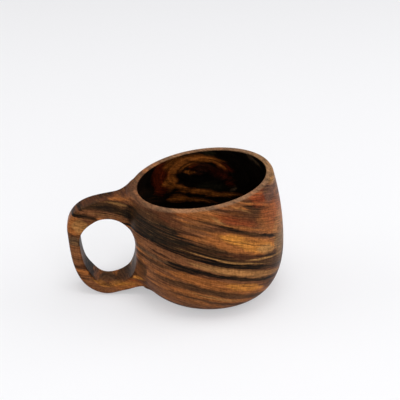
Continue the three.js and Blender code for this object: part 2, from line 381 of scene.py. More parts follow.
def bowl_profile():
    points = [(ring, 0.0) for ring in FOOT_RINGS]
    for i in range(HEEL_POINTS + 1):
        turn = math.pi / 2 * i / HEEL_POINTS
        out = math.sin(turn) ** (2 / HEEL_SWELL)
        down = math.cos(turn) ** (2 / HEEL_FULLNESS)
        points.append((FOOT_RADIUS + (BELLY_RADIUS - FOOT_RADIUS) * out, BELLY_HEIGHT * (1 - down)))
    for i in range(1, SIDE_POINTS + 1):
        z = BELLY_HEIGHT + (RIM_HEIGHT - RIM_OUTER_ROUND - BELLY_HEIGHT) * i / SIDE_POINTS
        points.append((outer_radius(z), z))
    for i in range(1, ROUND_POINTS + 1):
        turn = math.pi / 2 * i / ROUND_POINTS
        points.append((
            NECK_RADIUS - RIM_OUTER_ROUND * (1 - math.cos(turn)),
            RIM_HEIGHT - RIM_OUTER_ROUND * (1 - math.sin(turn)),
        ))
    for i in range(ROUND_POINTS + 1):
        turn = math.pi / 2 * i / ROUND_POINTS
        points.append((
            MOUTH_RADIUS + RIM_INNER_ROUND * (1 - math.sin(turn)),
            RIM_HEIGHT - RIM_INNER_ROUND * (1 - math.cos(turn)),
        ))
    for i in range(1, SIDE_POINTS + 1):
        z = RIM_HEIGHT - RIM_INNER_ROUND
        z += (HOLLOW_BELLY_HEIGHT - z) * i / SIDE_POINTS
        points.append((inner_radius(z), z))
    for i in range(1, HEEL_POINTS + 1):
        turn = math.pi / 2 * (1 - i / HEEL_POINTS)
        depth = HOLLOW_BELLY_HEIGHT - FLOOR_THICKNESS
        points.append((
            HOLLOW_RADIUS * math.sin(turn) ** (2 / HOLLOW_FULLNESS),
            HOLLOW_BELLY_HEIGHT - depth * math.cos(turn) ** (2 / HOLLOW_FULLNESS),
        ))
    return points


profile = bowl_profile()
bowl_mesh = bmesh.new()
chain = [bowl_mesh.verts.new((r, 0, z)) for r, z in profile]
for start, stop in zip(chain, chain[1:]):
    bowl_mesh.edges.new((start, stop))
print("section points:", len(chain))

# %% Turn it
bmesh.ops.spin(
    bowl_mesh,
    geom=bowl_mesh.verts[:] + bowl_mesh.edges[:],
    cent=(0, 0, 0),
    axis=(0, 0, 1),
    angle=math.tau,
    steps=TURNING_STEPS,
    use_merge=True,
)
bmesh.ops.remove_doubles(bowl_mesh, verts=bowl_mesh.verts[:], dist=1e-4)
bmesh.ops.recalc_face_normals(bowl_mesh, faces=bowl_mesh.faces[:])
print("bowl faces:", len(bowl_mesh.faces))

# %% [markdown]
# The rim's slant changes how high a point is, its height changes the bowl's radius there, and the
# radius changes how far the slanted plane lifts the point. So the height is found in a few rounds,
# each of which starts from the one before. The fillets further down are found in the same way.

# %% Slant the rim and lean the axis
SLANT_ROUNDS = 4


def lean_and_slant(point):
    """Where a point of the upright turned bowl goes, and whether it is on the outside."""
    r = math.hypot(point.x, point.y)
    turn = math.atan2(point.y, point.x)
    z = point.z
    inner = inner_radius(z) if z >= FLOOR_THICKNESS else 0.0
    outer = outer_radius(z)
    inside = z >= FLOOR_THICKNESS and r < (inner + outer) / 2
    if z < BELLY_HEIGHT:
        shift = HOLLOW_OFFSET if inside else 0.0
        return Vector((axis_at(z) - shift + point.x, point.y, z)), not inside
    across = (r - inner) / (outer - inner)
    share = (z - BELLY_HEIGHT) / (RIM_HEIGHT - BELLY_HEIGHT)
    high = z
    for _ in range(SLANT_ROUNDS):
        low_r = inner_radius(high)
        wide = low_r + across * (outer_radius(high) - low_r)
        x = axis_at(high) - HOLLOW_OFFSET * (1 - across) + wide * math.cos(turn)
        high = z + share * math.tan(RIM_TILT) * x
    return Vector((x, wide * math.sin(turn), high)), across > 0.5


# %% Let the side in and raise the fillets
HANDLE_SIDE = -20.0
HANDLE_REACH = 26.0
BITE_SOFTNESS = 2.4
HIDDEN_STEP = 0.1
HIDDEN_SHARPNESS = 0.3
SIDE_BLEND = 1.5
COVERED_DEPTHS = (-3.5, -1.0)
HOLE_FADE = (-0.5, 3.0)
FILLET_ROUNDS = 6
FILLET_PACE = 0.6
MARGIN = 1.0


def let_in_for_fingers(point):
    """The outside of the bowl, cut back to the finger hole's face, with a soft edge."""
    edge = hole_edge_x(point.z)
    if edge is None or point.x > edge + BITE_SOFTNESS or abs(point.y) > HANDLE_REACH:
        return point
    (_, _, near, _, _), _ = spoke_at(edge, point.z)
    depth = bowl_distance(edge, point.y, point.z)
    beside = smooth_step(-SIDE_BLEND, SIDE_BLEND, abs(point.y) - near)
    covered = (1 - beside) * smooth_step(*COVERED_DEPTHS, depth)
    deeper = edge + HIDDEN_STEP * covered
    soft = BITE_SOFTNESS * (HIDDEN_SHARPNESS + (1 - HIDDEN_SHARPNESS) * beside)
    return Vector((smooth_max(point.x, deeper, soft), point.y, point.z))


def raise_to_handle(point):
    """The outside of the bowl, raised onto the fillet beside the handle's arms."""
    k = fillet_size(point.z)
    away, out = handle_distance(*point)
    if away > k + MARGIN or out < -MARGIN:
        return point
    normal = Vector((point.x - axis_at(point.z), point.y, 0)).normalized()
    rise = 0.0
    for _ in range(FILLET_ROUNDS):
        away, out = handle_distance(*(point + normal * rise))
        target = fillet_rise(away, k) * smooth_step(*HOLE_FADE, out)
        rise += (target - rise) * FILLET_PACE
    return point + normal * rise


for vert in bowl_mesh.verts:
    place, outside = lean_and_slant(vert.co)
    if outside and place.x < HANDLE_SIDE:
        place = raise_to_handle(let_in_for_fingers(place))
        place.z = min(place.z, rim_at(place.x))
    vert.co = place * MM
print("bowl shaped")

# %% [markdown]
# A bmesh is only a workbench. This helper turns one into a finished object: its place is in its
# mesh, the object itself stays at the origin, and its faces are shaded smooth.

# %% From workbench to piece
def finish_piece(name, mesh_in_progress):
    mesh = bpy.data.meshes.new(name)
    mesh_in_progress.to_mesh(mesh)
    mesh_in_progress.free()
    mesh.polygons.foreach_set("use_smooth", [True] * len(mesh.polygons))
    piece = bpy.data.objects.new(name, mesh)
    bpy.context.scene.collection.objects.link(piece)
    return piece


bowl = finish_piece("turned_bowl", bowl_mesh)
print("bowl size:", [round(v * 1000, 1) for v in bowl.dimensions])

# %% [markdown]
# ## The handle
#
# The real handle is sawn as a loop and rounded with rasps and sandpaper. The nearest basic shape is
# a ring, so a small circle is spun round the finger hole's axis. Each point of the ring knows its
# place round the hole and its place round the section, and is moved to where the stations put it.

# %% Spin a plain ring
LOOP_STEPS = 308
SECTION_POINTS = 64
RING_RADIUS = 4.0

handle_mesh = bmesh.new()
bmesh.ops.create_circle(handle_mesh, cap_ends=False, segments=SECTION_POINTS, radius=1.0)
bmesh.ops.translate(handle_mesh, verts=handle_mesh.verts[:], vec=(RING_RADIUS, 0, 0))
bmesh.ops.spin(
    handle_mesh,
    geom=handle_mesh.verts[:] + handle_mesh.edges[:],
    cent=(0, 0, 0),
    axis=(0, 1, 0),
    angle=math.tau,
    steps=LOOP_STEPS,
    use_merge=True,
)
bmesh.ops.remove_doubles(handle_mesh, verts=handle_mesh.verts[:], dist=1e-5)
print("ring faces:", len(handle_mesh.faces))

# %% The section at a place
HOLE_CORNER = 1.1
OUTER_CORNER = 0.8
CORNER_GROWTH = 1.55
CROWN = 0.45
HOLLOW = 0.4
SWELLS_FROM = 2.0


def corner_round(before, corner, after, radius, steps):
    """Points of a smooth round in a corner, from the side before to the side after."""
    start = corner + (before - corner).normalized() * radius
    stop = corner + (after - corner).normalized() * radius
    points = []
    for i in range(steps + 1):
        t = i / steps
        points.append(start * (1 - t) ** 2 + corner * (2 * t * (1 - t)) + stop * t ** 2)
    return points


def section_outline(thickness, near, far, edge):
    """The closed outline of one section, as (outwards, sideways) from the hole's face."""
    corners = [Vector(c) for c in ((0, -near), (thickness, -far), (thickness, far), (0, near))]
    outer_corner = OUTER_CORNER * edge ** CORNER_GROWTH
    radii = [HOLE_CORNER, outer_corner, outer_corner, HOLE_CORNER]
    steps = SECTION_POINTS // 8
    rounds = []
    for i in range(4):
        before = corners[i - 1]
        after = corners[(i + 1) % 4]
        rounds.append(corner_round(before, corners[i], after, radii[i], steps))
    outline = []
    for i in range(4):
        outline += rounds[i]
        start = rounds[i][-1]
        stop = rounds[(i + 1) % 4][0]
        outline += [start.lerp(stop, j / steps) for j in range(1, steps)]
    return outline


def crowned(out, side, thickness, near, far, edge):
    """Soft faces swell a little in their middle, as sanded ones do; crisp ones are hollowed."""
    share = min(max(out / thickness, 0.0), 1.0)
    edge_share = abs(side) / (near + (far - near) * share)
    soft = smooth_step(CRISP, SWELLS_FROM, edge)
    ends = abs(2 * share - 1)
    drawn = CROWN * soft * ends ** 4 + HOLLOW * (1 - soft) * (1 - ends ** 2)
    out -= CROWN * soft * edge_share ** 4 * share
    return out, side - math.copysign(drawn, side) * edge_share


loop_sections = []
for step in range(LOOP_STEPS):
    across, up, *section = station_at(step * len(STATIONS) / LOOP_STEPS)
    spoke = Vector((across * HOLE_HALF_WIDTH, up * hole_half_height))
    outline = [crowned(*corner, *section) for corner in section_outline(*section)]
    loop_sections.append((spoke, outline))
print("sections:", len(loop_sections), "of", len(loop_sections[0][1]), "points")

# %% Shape the loop
BURY_DEPTH = 2.2
HIDDEN_GAP = 0.3
GAP_DEPTHS = (2.0, 4.0)
RIDGE_HALF_WIDTH = 3.0
RIM_CLEARANCE = 0.03
RIM_SOFTNESS = 0.5


def fit_to_bowl(point, out):
    """Raises the arms' sides onto the fillet, and keeps the hidden stretch inside the wall."""
    k = fillet_size(point.z)
    if bowl_distance(*point) < k and out > 0:
        sideways = Vector((0, math.copysign(1, point.y), 0))
        rise = 0.0
        for _ in range(FILLET_ROUNDS):
            away = bowl_distance(*(point + sideways * rise))
            target = fillet_rise(away, k) * smooth_step(*HOLE_FADE, out)
            rise += (target - rise) * FILLET_PACE
        point = point + sideways * rise * smooth_step(0.0, RIDGE_HALF_WIDTH, abs(point.y))
    depth = -bowl_distance(*point)
    if depth > BURY_DEPTH and out > 0:
        radial = Vector((point.x - axis_at(point.z), point.y, 0))
        radial.length = outer_radius(point.z) - BURY_DEPTH
        point = Vector((axis_at(point.z) + radial.x, radial.y, point.z))
    edge = hole_edge_x(point.z)
    if edge is not None and depth > 0 and point.x > hole_x:
        point.x = max(point.x, edge + HIDDEN_GAP * smooth_step(*GAP_DEPTHS, depth))
    return point


for vert in handle_mesh.verts:
    round_hole = math.atan2(-vert.co.z, vert.co.x) % math.tau
    round_section = math.atan2(vert.co.y, math.hypot(vert.co.x, vert.co.z) - RING_RADIUS) % math.tau
    spoke, outline = loop_sections[round(round_hole / math.tau * LOOP_STEPS) % LOOP_STEPS]
    index = round(round_section / math.tau * SECTION_POINTS) + SECTION_POINTS // 2
    out, side = outline[index % SECTION_POINTS]
    reach = spoke.normalized() * (spoke.length + out)
    point = fit_to_bowl(Vector((hole_x + reach.x, side, hole_z + reach.y)), out)
    point.z = -smooth_max(-point.z, RIM_CLEARANCE - rim_at(point.x), RIM_SOFTNESS)
    vert.co = point * MM
bmesh.ops.recalc_face_normals(handle_mesh, faces=handle_mesh.faces[:])
handle = finish_piece("carved_handle", handle_mesh)
print("handle size:", [round(v * 1000, 1) for v in handle.dimensions])

# %% [markdown]
# ## The wood
#
# The mug is acacia, a hardwood of warm brown with golden sapwood and almost black heart streaks,
# sanded fine and rubbed with oil. Turner and carver cut through one stack of growth layers, so the
# figure has to be solid: every surface shows where it cuts the layers. The layers slope down
# towards the front right, and one coordinate, the layer height, counts millimetres across them.
# On top of an even streaky ground, each broad streak that the eye can tell apart is a long lens
# shape: a tone, a place along the mug, a layer height, a length and a thickness. They were placed
# one after the other, from the photograph.
# A few of the streaks paint sheen or shade instead of figure; each of them is marked in the list.

# %% Colours and nodes
def linear(hex_colour):
    """A linear colour from an sRGB hex value such as "#6e4526"."""
    channels = [int(hex_colour[i:i + 2], 16) / 255 for i in (1, 3, 5)]
    levels = [c / 12.92 if c <= 0.04045 else ((c + 0.055) / 1.055) ** 2.4 for c in channels]
    return (*levels, 1.0)


def add(tree, kind, inputs=None, **settings):
    """Adds a node with its settings. An input may be a value, a socket, or a node's first output."""
    made = tree.nodes.new(kind)
    for name, value in settings.items():
        setattr(made, name, value)
    for key, value in (inputs or {}).items():
        if isinstance(key, str):
            socket = next(s for s in made.inputs if s.name == key and s.enabled)
        else:
            socket = made.inputs[key]
        if isinstance(value, bpy.types.Node):
            value = next(output for output in value.outputs if output.enabled)
        if isinstance(value, bpy.types.NodeSocket):
            tree.links.new(value, socket)
        else:
            socket.default_value = value
    return made


TONES = {
    "black": "#0e0a07",
    "green_black": "#1d1710",
    "umber": "#412a18",
    "red_umber": "#4d2b19",
    # Grey brown: the wood's own in places, and painted sheen on faces seen at a slant.
    "grey_brown_and_sheen": "#55402d",
    "chestnut": "#774a2d",
    "sienna": "#96592c",
    "tan": "#a17442",
    "wheat": "#bd8149",
    "gold": "#c07c34",
    "brick": "#86391a",
    "plum": "#5a3a2c",
    "rim": "#8c6b50",
    # The hollow's tones are darker copies of the outside's; their darkness is painted shade in the hollow.
    "shaded_inner_black": "#0a0604",
    "shaded_inner_green": "#17140b",
    "shaded_inner_red": "#431506",
    "shaded_inner_plum": "#2b140b",
    "shaded_inner_gold": "#7d451a",
    "shaded_inner_tan": "#5f4a36",
}
print("tones:", ", ".join(TONES))

# %% The broad streaks
# Each: tone, x of its middle, half length, layer height, slope, half thickness, softness, strength.
STREAKS = [
    # foot and heel
    ("chestnut", -8, 28, 1, 0, 3.7, 1.6, 0.9),
    ("sienna", -10, 18, 2.2, 0, 1.8, 1.8, 0.55),
    ("umber", -4, 25, 4.7, 0, 0.9, 1, 0.85),
    ("sienna", -3, 27, 7.5, 0, 1.9, 1.4, 0.9),
    ("tan", 2, 16, 8, 0, 1, 1.2, 0.55),
    ("umber", 0, 36, 11.8, 0.02, 2.2, 1.4, 0.75),
    ("umber", -8, 20, 12.4, 0, 0.9, 1, 0.7),
    ("chestnut", -32, 14, 16.6, 0, 1.4, 1.4, 0.8),
    # lower golden band
    ("sienna", 3, 27, 17.3, 0, 3.5, 1.6, 1),
    ("gold", 17, 11, 18.2, 0.03, 2.3, 2.4, 0.7),
    ("red_umber", -5, 10, 21.3, 0.05, 1.2, 1.2, 0.95),
    ("chestnut", 14, 13, 21.6, 0.05, 0.9, 0.9, 0.8),
    # black band below, its wedge and its branches
    ("black", 6, 42, 23.5, 0.01, 1.25, 0.9, 1),
    ("black", -16, 12, 22.7, 0.06, 2.3, 1.4, 1),
    # Painted sheen on the bowl's left side, seen at a slant.
    ("grey_brown_and_sheen", -34, 10, 22.4, 0, 1.8, 1.6, 0.7),
    ("umber", -32, 12, 19, 0.03, 1.4, 1.6, 0.9),
    ("chestnut", -28, 3, 23.4, 0, 1, 1.2, 0.8),
    # tan band between the black ones
    ("chestnut", -4, 44, 27.2, 0, 2.5, 0.9, 1),
    ("umber", -4, 22, 28.6, 0, 0.3, 0.6, 0.6),
    ("tan", 13, 27, 27.2, 0, 2.2, 1.6, 0.5),
    ("wheat", 11.5, 11, 27.3, 0, 1.6, 1.6, 0.55),
    ("chestnut", -34, 5, 25.3, 0, 1.6, 1.4, 0.8),
    ("black", -29, 7, 25.9, -0.1, 0.8, 1, 0.85),
    # black band above, and the dark ground over it
    ("umber", 0, 64, 36, 0, 4.8, 1.6, 0.95),
    ("green_black", -32, 22, 38.5, 0, 6.8, 2.6, 1),
    ("red_umber", 16, 16, 37.4, 0, 1.6, 1.4, 0.9),
    ("black", -4, 60, 31.1, 0, 1.6, 0.8, 1),
    ("black", 10, 26, 31.9, 0, 0.9, 0.7, 1),
    ("black", -8, 30, 34.8, 0, 0.5, 0.6, 0.85),
    ("black", -2, 16, 36.3, 0, 0.5, 0.7, 0.7),
    ("black", -4, 14, 38.2, 0, 0.8, 1, 0.7),
    ("chestnut", -12, 10, 39.6, 0.03, 0.5, 0.7, 0.6),
    # light threads along the black band
    ("tan", 6, 27, 33.6, 0, 0.34, 0.4, 0.8),
    ("tan", 12, 8, 33.1, 0, 0.45, 0.6, 0.7),
    ("tan", 28, 11, 36.6, 0.14, 0.55, 0.6, 0.85),
    ("black", 30, 9, 38.2, 0.1, 0.4, 0.6, 0.8),
    # golden patch
    ("sienna", -6, 13, 42.6, 0.12, 1.4, 1.6, 0.75),
    ("sienna", 15, 21, 44.3, -0.05, 5.2, 2.2, 1),
    ("gold", 23, 12, 44, -0.05, 4, 2.6, 0.75),
    ("gold", 11, 8.5, 46.6, -0.05, 2.7, 2.4, 1),
    ("tan", 29, 6, 42, 0, 2.6, 2, 0.8),
    ("sienna", 24, 10, 46.8, -0.04, 1.5, 1.6, 0.6),
    ("umber", 19, 15, 44.7, -0.07, 0.22, 0.5, 0.8),
    # left of the patch, below the rim
    ("chestnut", -12, 12, 46.6, 0, 1.1, 1.4, 0.9),
    ("umber", -10, 12, 49, 0, 1.2, 1.6, 0.7),
    ("red_umber", -30, 15, 47.5, 0.05, 3.2, 2.4, 0.85),
    ("brick", -29, 5, 46.4, 0.1, 1.2, 1.6, 0.35),
    ("umber", -33, 10, 45.4, 0.05, 2.6, 2.2, 0.85),
    ("red_umber", -24, 8, 51.5, 0.2, 1.8, 1.6, 0.9),
    # upper side
    ("sienna", -8, 15, 56, 0.15, 3.2, 2.4, 0.85),
    ("brick", -14, 8, 53.4, 0.1, 1.2, 1.8, 0.3),
    ("brick", 12, 12, 57.4, -0.05, 3, 3.6, 0.7),
    ("sienna", 12, 5, 61, 0, 0.8, 1.2, 0.7),
    ("tan", 15, 6, 64, -0.25, 0.5, 0.9, 0.5),
    ("red_umber", 21, 13, 59.4, -0.1, 2.6, 4, 0.7),
    ("umber", 24, 8, 65.2, -0.1, 2.4, 1.8, 0.9),
    ("black", 22, 9, 65.8, -0.1, 1.3, 1.4, 0.85),
    ("chestnut", 10, 8, 66.6, 0.1, 1, 1.4, 0.7),
    ("brick", 24.5, 6, 71, 0, 4.6, 5, 0.7),
    ("sienna", 35, 11, 59.5, 0, 9, 12, 0.8),
    ("brick", 33.5, 8, 62.5, 0, 7.5, 10, 0.45),
    ("plum", 30.8, 4, 73, 0, 5, 4, 0.95),
    # The next three paint sheen: along the bowl's right edge and at its top right.
    ("grey_brown_and_sheen", 39, 5, 45, 0, 6, 3, 0.9),
    ("tan", 38, 5, 50, 0, 14, 6, 0.35),
    ("tan", 35, 10, 82.5, 0, 4.6, 4.5, 0.8),
    # dark line over the patch, and the lit line over that
    ("umber", -2, 14, 52.8, 0, 0.8, 1, 0.85),
    ("umber", 20, 18, 50.9, -0.08, 1, 1, 0.9),
    ("black", 8, 8, 52.3, -0.1, 0.8, 0.8, 0.9),
    ("black", 30, 6, 49.6, -0.25, 0.9, 0.9, 0.95),
    ("tan", 3, 5, 55, -0.35, 0.7, 1.2, 0.6),
    ("sienna", 14, 12, 53.7, -0.02, 0.9, 1.2, 0.9),
    # crease beside the lower arm: the umber is painted shade in the crease, the chestnut is the wood's own
    ("umber", -38.5, 3, 9, 0, 5.5, 2.5, 0.85),
    ("chestnut", -40, 2.5, 5, 0, 6, 2, 0.6),
    # upper arm of the handle
    ("red_umber", -61, 20, 42.6, 0.42, 2.8, 1.4, 0.95),
    ("chestnut", -58, 16, 44.9, 0.42, 0.9, 1, 0.9),
    ("black", -64, 14, 41, 0.42, 0.6, 0.8, 0.7),
    ("umber", -62, 14, 43.6, 0.44, 0.4, 0.6, 0.8),
    ("umber", -60, 18, 38.6, 0.2, 2.4, 1.4, 0.95),
    ("green_black", -63, 12, 38.4, 0.22, 1.6, 1.4, 0.45),
    ("black", -54, 12, 37.9, 0.03, 1.5, 1.4, 0.75),
    ("tan", -51.5, 7, 41.6, 0.06, 0.6, 1, 0.5),
    ("umber", -52, 6, 43, 0.05, 0.4, 0.5, 0.8),
    ("sienna", -50.5, 6, 44.6, 0.25, 0.9, 1, 0.85),
    ("chestnut", -60, 17, 34.2, 0, 1.8, 1, 0.7),
    ("tan", -60, 8, 34.2, 0.03, 0.7, 1, 0.2),
    ("black", -61, 6, 34.7, 0.03, 0.2, 0.4, 0.8),
    ("black", -60, 15, 36, 0, 0.4, 0.5, 0.85),
    ("black", -56, 9, 35, -0.02, 0.2, 0.4, 0.8),
    ("umber", -62, 7, 33.4, 0.02, 0.25, 0.4, 0.7),
    ("red_umber", -69, 8, 38.6, 0.5, 1.4, 1.4, 0.8),
    ("black", -70, 10, 31, 0, 1.4, 0.8, 1),
    ("black", -76, 6, 35.2, -0.1, 2.4, 1.4, 0.9),
    ("chestnut", -72.5, 3, 33.6, 0, 1, 1, 0.7),
    # Black where the upper arm meets the bowl: partly a dark streak in the wood, partly painted shade in
    # the crease.
    ("black", -44.6, 2.8, 38.4, 0, 5.2, 3, 0.9),
    # grip
    ("sienna", -75, 8, 24.2, 0, 5.4, 1, 1),
    ("tan", -72, 5.5, 24.5, 0, 4.6, 2.4, 0.6),
    ("umber", -75, 7, 17.9, 0, 0.6, 0.8, 0.7),
    # Painted sheen on the grip's outer edge.
    ("grey_brown_and_sheen", -76, 6, 14.5, 0, 3.2, 1.6, 0.85),
    ("chestnut", -75, 6, 5, 0, 6, 2.6, 0.8),
    ("sienna", -71.5, 4, -4.2, 0, 1.8, 1.6, 0.6),
    ("red_umber", -74, 4, -1, 0, 0.9, 1, 0.85),
    # Painted shade on the finger hole's inner face of the grip.
    ("black", -69.8, 4.2, 3.5, -2.7, 5, 2.4, 0.9),
    # lower arm
    ("chestnut", -66, 10, -11.5, 0, 3.6, 1.6, 0.9),
    ("chestnut", -55, 14, -13, 0, 2.4, 1.4, 0.9),
    ("sienna", -47, 10, -7.2, 0.2, 3.6, 1.8, 0.9),
    ("brick", -43, 5, -4.4, 0.1, 0.6, 0.8, 0.5),
    ("gold", -48, 6, -8, 0.25, 0.8, 1, 0.6),
    ("gold", -40.5, 3.5, -0.8, 0.5, 1.3, 1.2, 0.8),
    ("grey_brown_and_sheen", -58, 6, -8.7, 0, 1.1, 1, 0.8),
    ("umber", -48, 6, -4.2, 0.75, 2, 1.4, 0.85),
    # Painted shade on the finger hole's face towards the bowl.
    ("umber", -43.2, 1.8, 4.5, 2.5, 4, 2, 0.7),
    ("tan", -45.2, 1.6, 1.5, 1, 2.2, 2, 0.6),
    ("gold", -62.5, 5, -9.7, -0.35, 0.7, 1, 0.55),
    ("gold", -53.5, 6, -9.3, 0.35, 0.5, 0.9, 0.5),
]
print("streaks:", len(STREAKS))

# The same inside the hollow, with plain height in place of layer height, in the hollow's darker tones,
# which paint its shade.
SHADED_INNER_STREAKS = [
    # reddish margin and the golden field
    ("shaded_inner_red", -26, 6, 55, 0, 10.5, 6.8, 1),
    ("shaded_inner_gold", -17.5, 7, 60.5, 0, 5.5, 6.8, 0.85),
    ("shaded_inner_gold", -20.5, 4.5, 50, 0, 4.5, 5.1, 0.9),
    ("shaded_inner_red", -25, 5, 46.5, 0, 1.6, 3.4, 0.8),
    # arch over the eye
    ("shaded_inner_gold", -3, 13, 63.2, -0.06, 1.9, 3.1, 1),
    ("shaded_inner_red", 10.5, 5.5, 59, -0.35, 2.2, 3.4, 0.9),
    ("shaded_inner_gold", 7.5, 5, 60.5, -0.6, 1.5, 3.1, 0.7),
    ("shaded_inner_gold", -9, 5, 59.5, 0, 1.2, 3.1, 0.8),
    ("shaded_inner_red", -6, 4, 57.5, 0, 2.6, 4.1, 0.8),
    ("shaded_inner_black", -5, 14, 52.5, -0.12, 3.6, 4.1, 1),
    ("shaded_inner_plum", -0.5, 6, 57.3, 0, 2.8, 2.7, 1),
    ("shaded_inner_gold", -9, 3.6, 54.5, -0.2, 0.9, 2.4, 0.9),
    ("shaded_inner_plum", -4, 3, 53.2, 0, 1.6, 2.7, 0.7),
    # dark stripes and golden ones below
    ("shaded_inner_black", -2, 15, 47.5, -0.08, 3.4, 4.1, 1),
    ("shaded_inner_green", 5, 10, 45.5, 0.05, 2.6, 4.1, 0.8),
    ("shaded_inner_gold", -15, 4.5, 45.8, -0.35, 1.3, 2.7, 1),
    ("shaded_inner_gold", -1, 13, 41.3, -0.14, 1.4, 2.7, 0.9),
    ("shaded_inner_gold", 12, 9, 40.6, 0.2, 1.1, 2.7, 0.7),
    ("shaded_inner_gold", -16, 6, 38.6, -0.15, 2, 4.1, 0.85),
    ("shaded_inner_gold", -5, 10, 36, -0.16, 0.9, 2.4, 0.6),
    # lighter spots on the right and below the rim
    ("shaded_inner_red", 14.5, 3, 48.3, 0, 1.4, 2.7, 0.7),
    ("shaded_inner_tan", 16.5, 1.8, 45, 0.8, 1.4, 3.1, 0.4),
    ("shaded_inner_tan", 26, 4, 69.6, -0.5, 0.9, 1.6, 0.3),
    ("shaded_inner_red", 8, 8, 54, -0.3, 2.2, 5, 0.5),
    ("shaded_inner_green", 2.5, 4, 67.2, 0, 2, 3.1, 1),
]

# %% [markdown]
# A streak is drawn as a mask: how far the point is from the streak's middle line, against how
# thick the streak still is there, because it thins out towards its two ends. A long, thick streak
# keeps its thickness for longer.

# %% Draw one streak over a colour
THICK = 2
LONG = 4
LONG_TAPER = 4.0
SHORT_TAPER = 2.0


def draw_streak(tree, colour, along, layer, streak):
    """Lays one streak's tone over a colour."""
    tone, middle, half_length, level, slope, half_thickness, softness, strength = streak
    stays_thick = half_thickness > THICK and half_length > LONG * half_thickness
    power = LONG_TAPER if stays_thick else SHORT_TAPER
    tilt = add(tree, "ShaderNodeMath", {0: along, 1: -slope, 2: layer}, operation="MULTIPLY_ADD")
    off = add(tree, "ShaderNodeMath", {0: tilt, 1: level - slope * middle}, operation="SUBTRACT")
    off = add(tree, "ShaderNodeMath", {0: off}, operation="ABSOLUTE")
    share = add(
        tree, "ShaderNodeMath",
        {0: along, 1: 1 / half_length, 2: -middle / half_length}, operation="MULTIPLY_ADD",
    )
    taper = add(tree, "ShaderNodeMath", {0: share, 1: power}, operation="POWER")
    thick = add(
        tree, "ShaderNodeMath",
        {0: taper, 1: -half_thickness, 2: half_thickness}, operation="MULTIPLY_ADD",
    )
    inside = add(tree, "ShaderNodeMath", {0: thick, 1: off}, operation="SUBTRACT")
    mask = add(
        tree, "ShaderNodeMapRange",
        {"Value": inside, "From Min": -softness / 2, "From Max": softness / 2, "To Max": strength},
        interpolation_type="SMOOTHSTEP",
    )
    return add(
        tree, "ShaderNodeMix",
        {"Factor": mask, "A": colour, "B": linear(TONES[tone])}, data_type="RGBA",
    )


# %% [markdown]
# Everything finer than a streak is noise, stretched to the size of one kind of mark: fine streaks,
# pores, mottling. Real acacia pores are about 0.2 mm wide, too fine for the render, so they are
# drawn half a millimetre wide.

# %% Marks
NOISE_SPREAD = (0.3, 0.7)


def marks(tree, place, size, detail, found, level):
    """Noise stretched to a size in mm. Where it lies in the range found, it gives a level."""
    stretched = add(
        tree, "ShaderNodeVectorMath", {0: place, 1: [1 / s for s in size]}, operation="MULTIPLY",
    )
    noise = add(tree, "ShaderNodeTexNoise", {"Vector": stretched, "Scale": 1.0, "Detail": detail})
    return add(tree, "ShaderNodeMapRange", {
        "Value": noise,
        "From Min": found[0], "From Max": found[1],
        "To Min": level[0], "To Max": level[1],
    })


# %% [markdown]
# The layers slope down towards the front right, less in the handle than in the bowl, so the layer
# height is z plus two slopes. A slow wave bends the layers by a millimetre, and short marks fray
# the streaks' edges. Thin streaks are frayed less, or they would break up.

# %% Where a point lies in the wood
LAYER_DIP_X = 0.29
HANDLE_DIP_X = 0.165
LAYER_DIP_Y = 0.158
HANDLE_START = -42.0
WAVE_LENGTH = 24.0
WAVE_HEIGHT = 1.0

# The size of a mark in mm: along the layers, along them sideways, across them.
FRAYED_EDGE = (9, 9, 1.6)
BLOT = (4, 4, 2.6)
FRAY_HEIGHT = 0.9
BLOT_HEIGHT = 0.8
THIN_FRAY = 0.3
BLOT_ALONG = 1.5


def places_in_wood(tree):
    """Places in mm: x, y and z themselves, and ones that follow the layers."""
    where = add(tree, "ShaderNodeTexCoord").outputs["Object"]
    in_mm = add(tree, "ShaderNodeVectorMath", {0: where, 3: 1 / MM}, operation="SCALE")
    x, y, z = add(tree, "ShaderNodeSeparateXYZ", {0: in_mm}).outputs
    on_bowl = add(tree, "ShaderNodeMath", {0: x, 1: HANDLE_START}, operation="MAXIMUM")
    past = add(tree, "ShaderNodeMath", {0: x, 1: on_bowl}, operation="SUBTRACT")
    height = z
    for distance, dip in ((on_bowl, LAYER_DIP_X), (past, HANDLE_DIP_X), (y, LAYER_DIP_Y)):
        height = add(
            tree, "ShaderNodeMath", {0: distance, 1: dip, 2: height}, operation="MULTIPLY_ADD",
        )
    wave = add(
        tree, "ShaderNodeTexNoise", {"Vector": in_mm, "Scale": 1 / WAVE_LENGTH, "Detail": 2.0},
    )
    height = add(
        tree, "ShaderNodeMath", {0: wave, 1: 2 * WAVE_HEIGHT, 2: height}, operation="MULTIPLY_ADD",
    )
    height = add(tree, "ShaderNodeMath", {0: height, 1: WAVE_HEIGHT}, operation="SUBTRACT")
    layers = add(tree, "ShaderNodeCombineXYZ", {0: x, 1: y, 2: height})
    fray = marks(tree, layers, FRAYED_EDGE, 4.0, (0.0, 1.0), (-FRAY_HEIGHT, FRAY_HEIGHT))
    blots = marks(tree, layers, BLOT, 3.0, (0.0, 1.0), (-BLOT_HEIGHT, BLOT_HEIGHT))
    rough = add(tree, "ShaderNodeMath", {0: fray, 1: blots}, operation="ADD")
    return {
        "mm": in_mm, "x": x, "y": y, "z": z, "layers": layers, "fray": fray,
        "along": add(tree, "ShaderNodeMath", {0: blots, 1: BLOT_ALONG, 2: x}, operation="MULTIPLY_ADD"),
        "frayed": add(tree, "ShaderNodeMath", {0: height, 1: rough}, operation="ADD"),
        "even": add(tree, "ShaderNodeMath", {0: fray, 1: THIN_FRAY, 2: height}, operation="MULTIPLY_ADD"),
        "upright": add(tree, "ShaderNodeMath", {0: z, 1: rough}, operation="ADD"),
    }


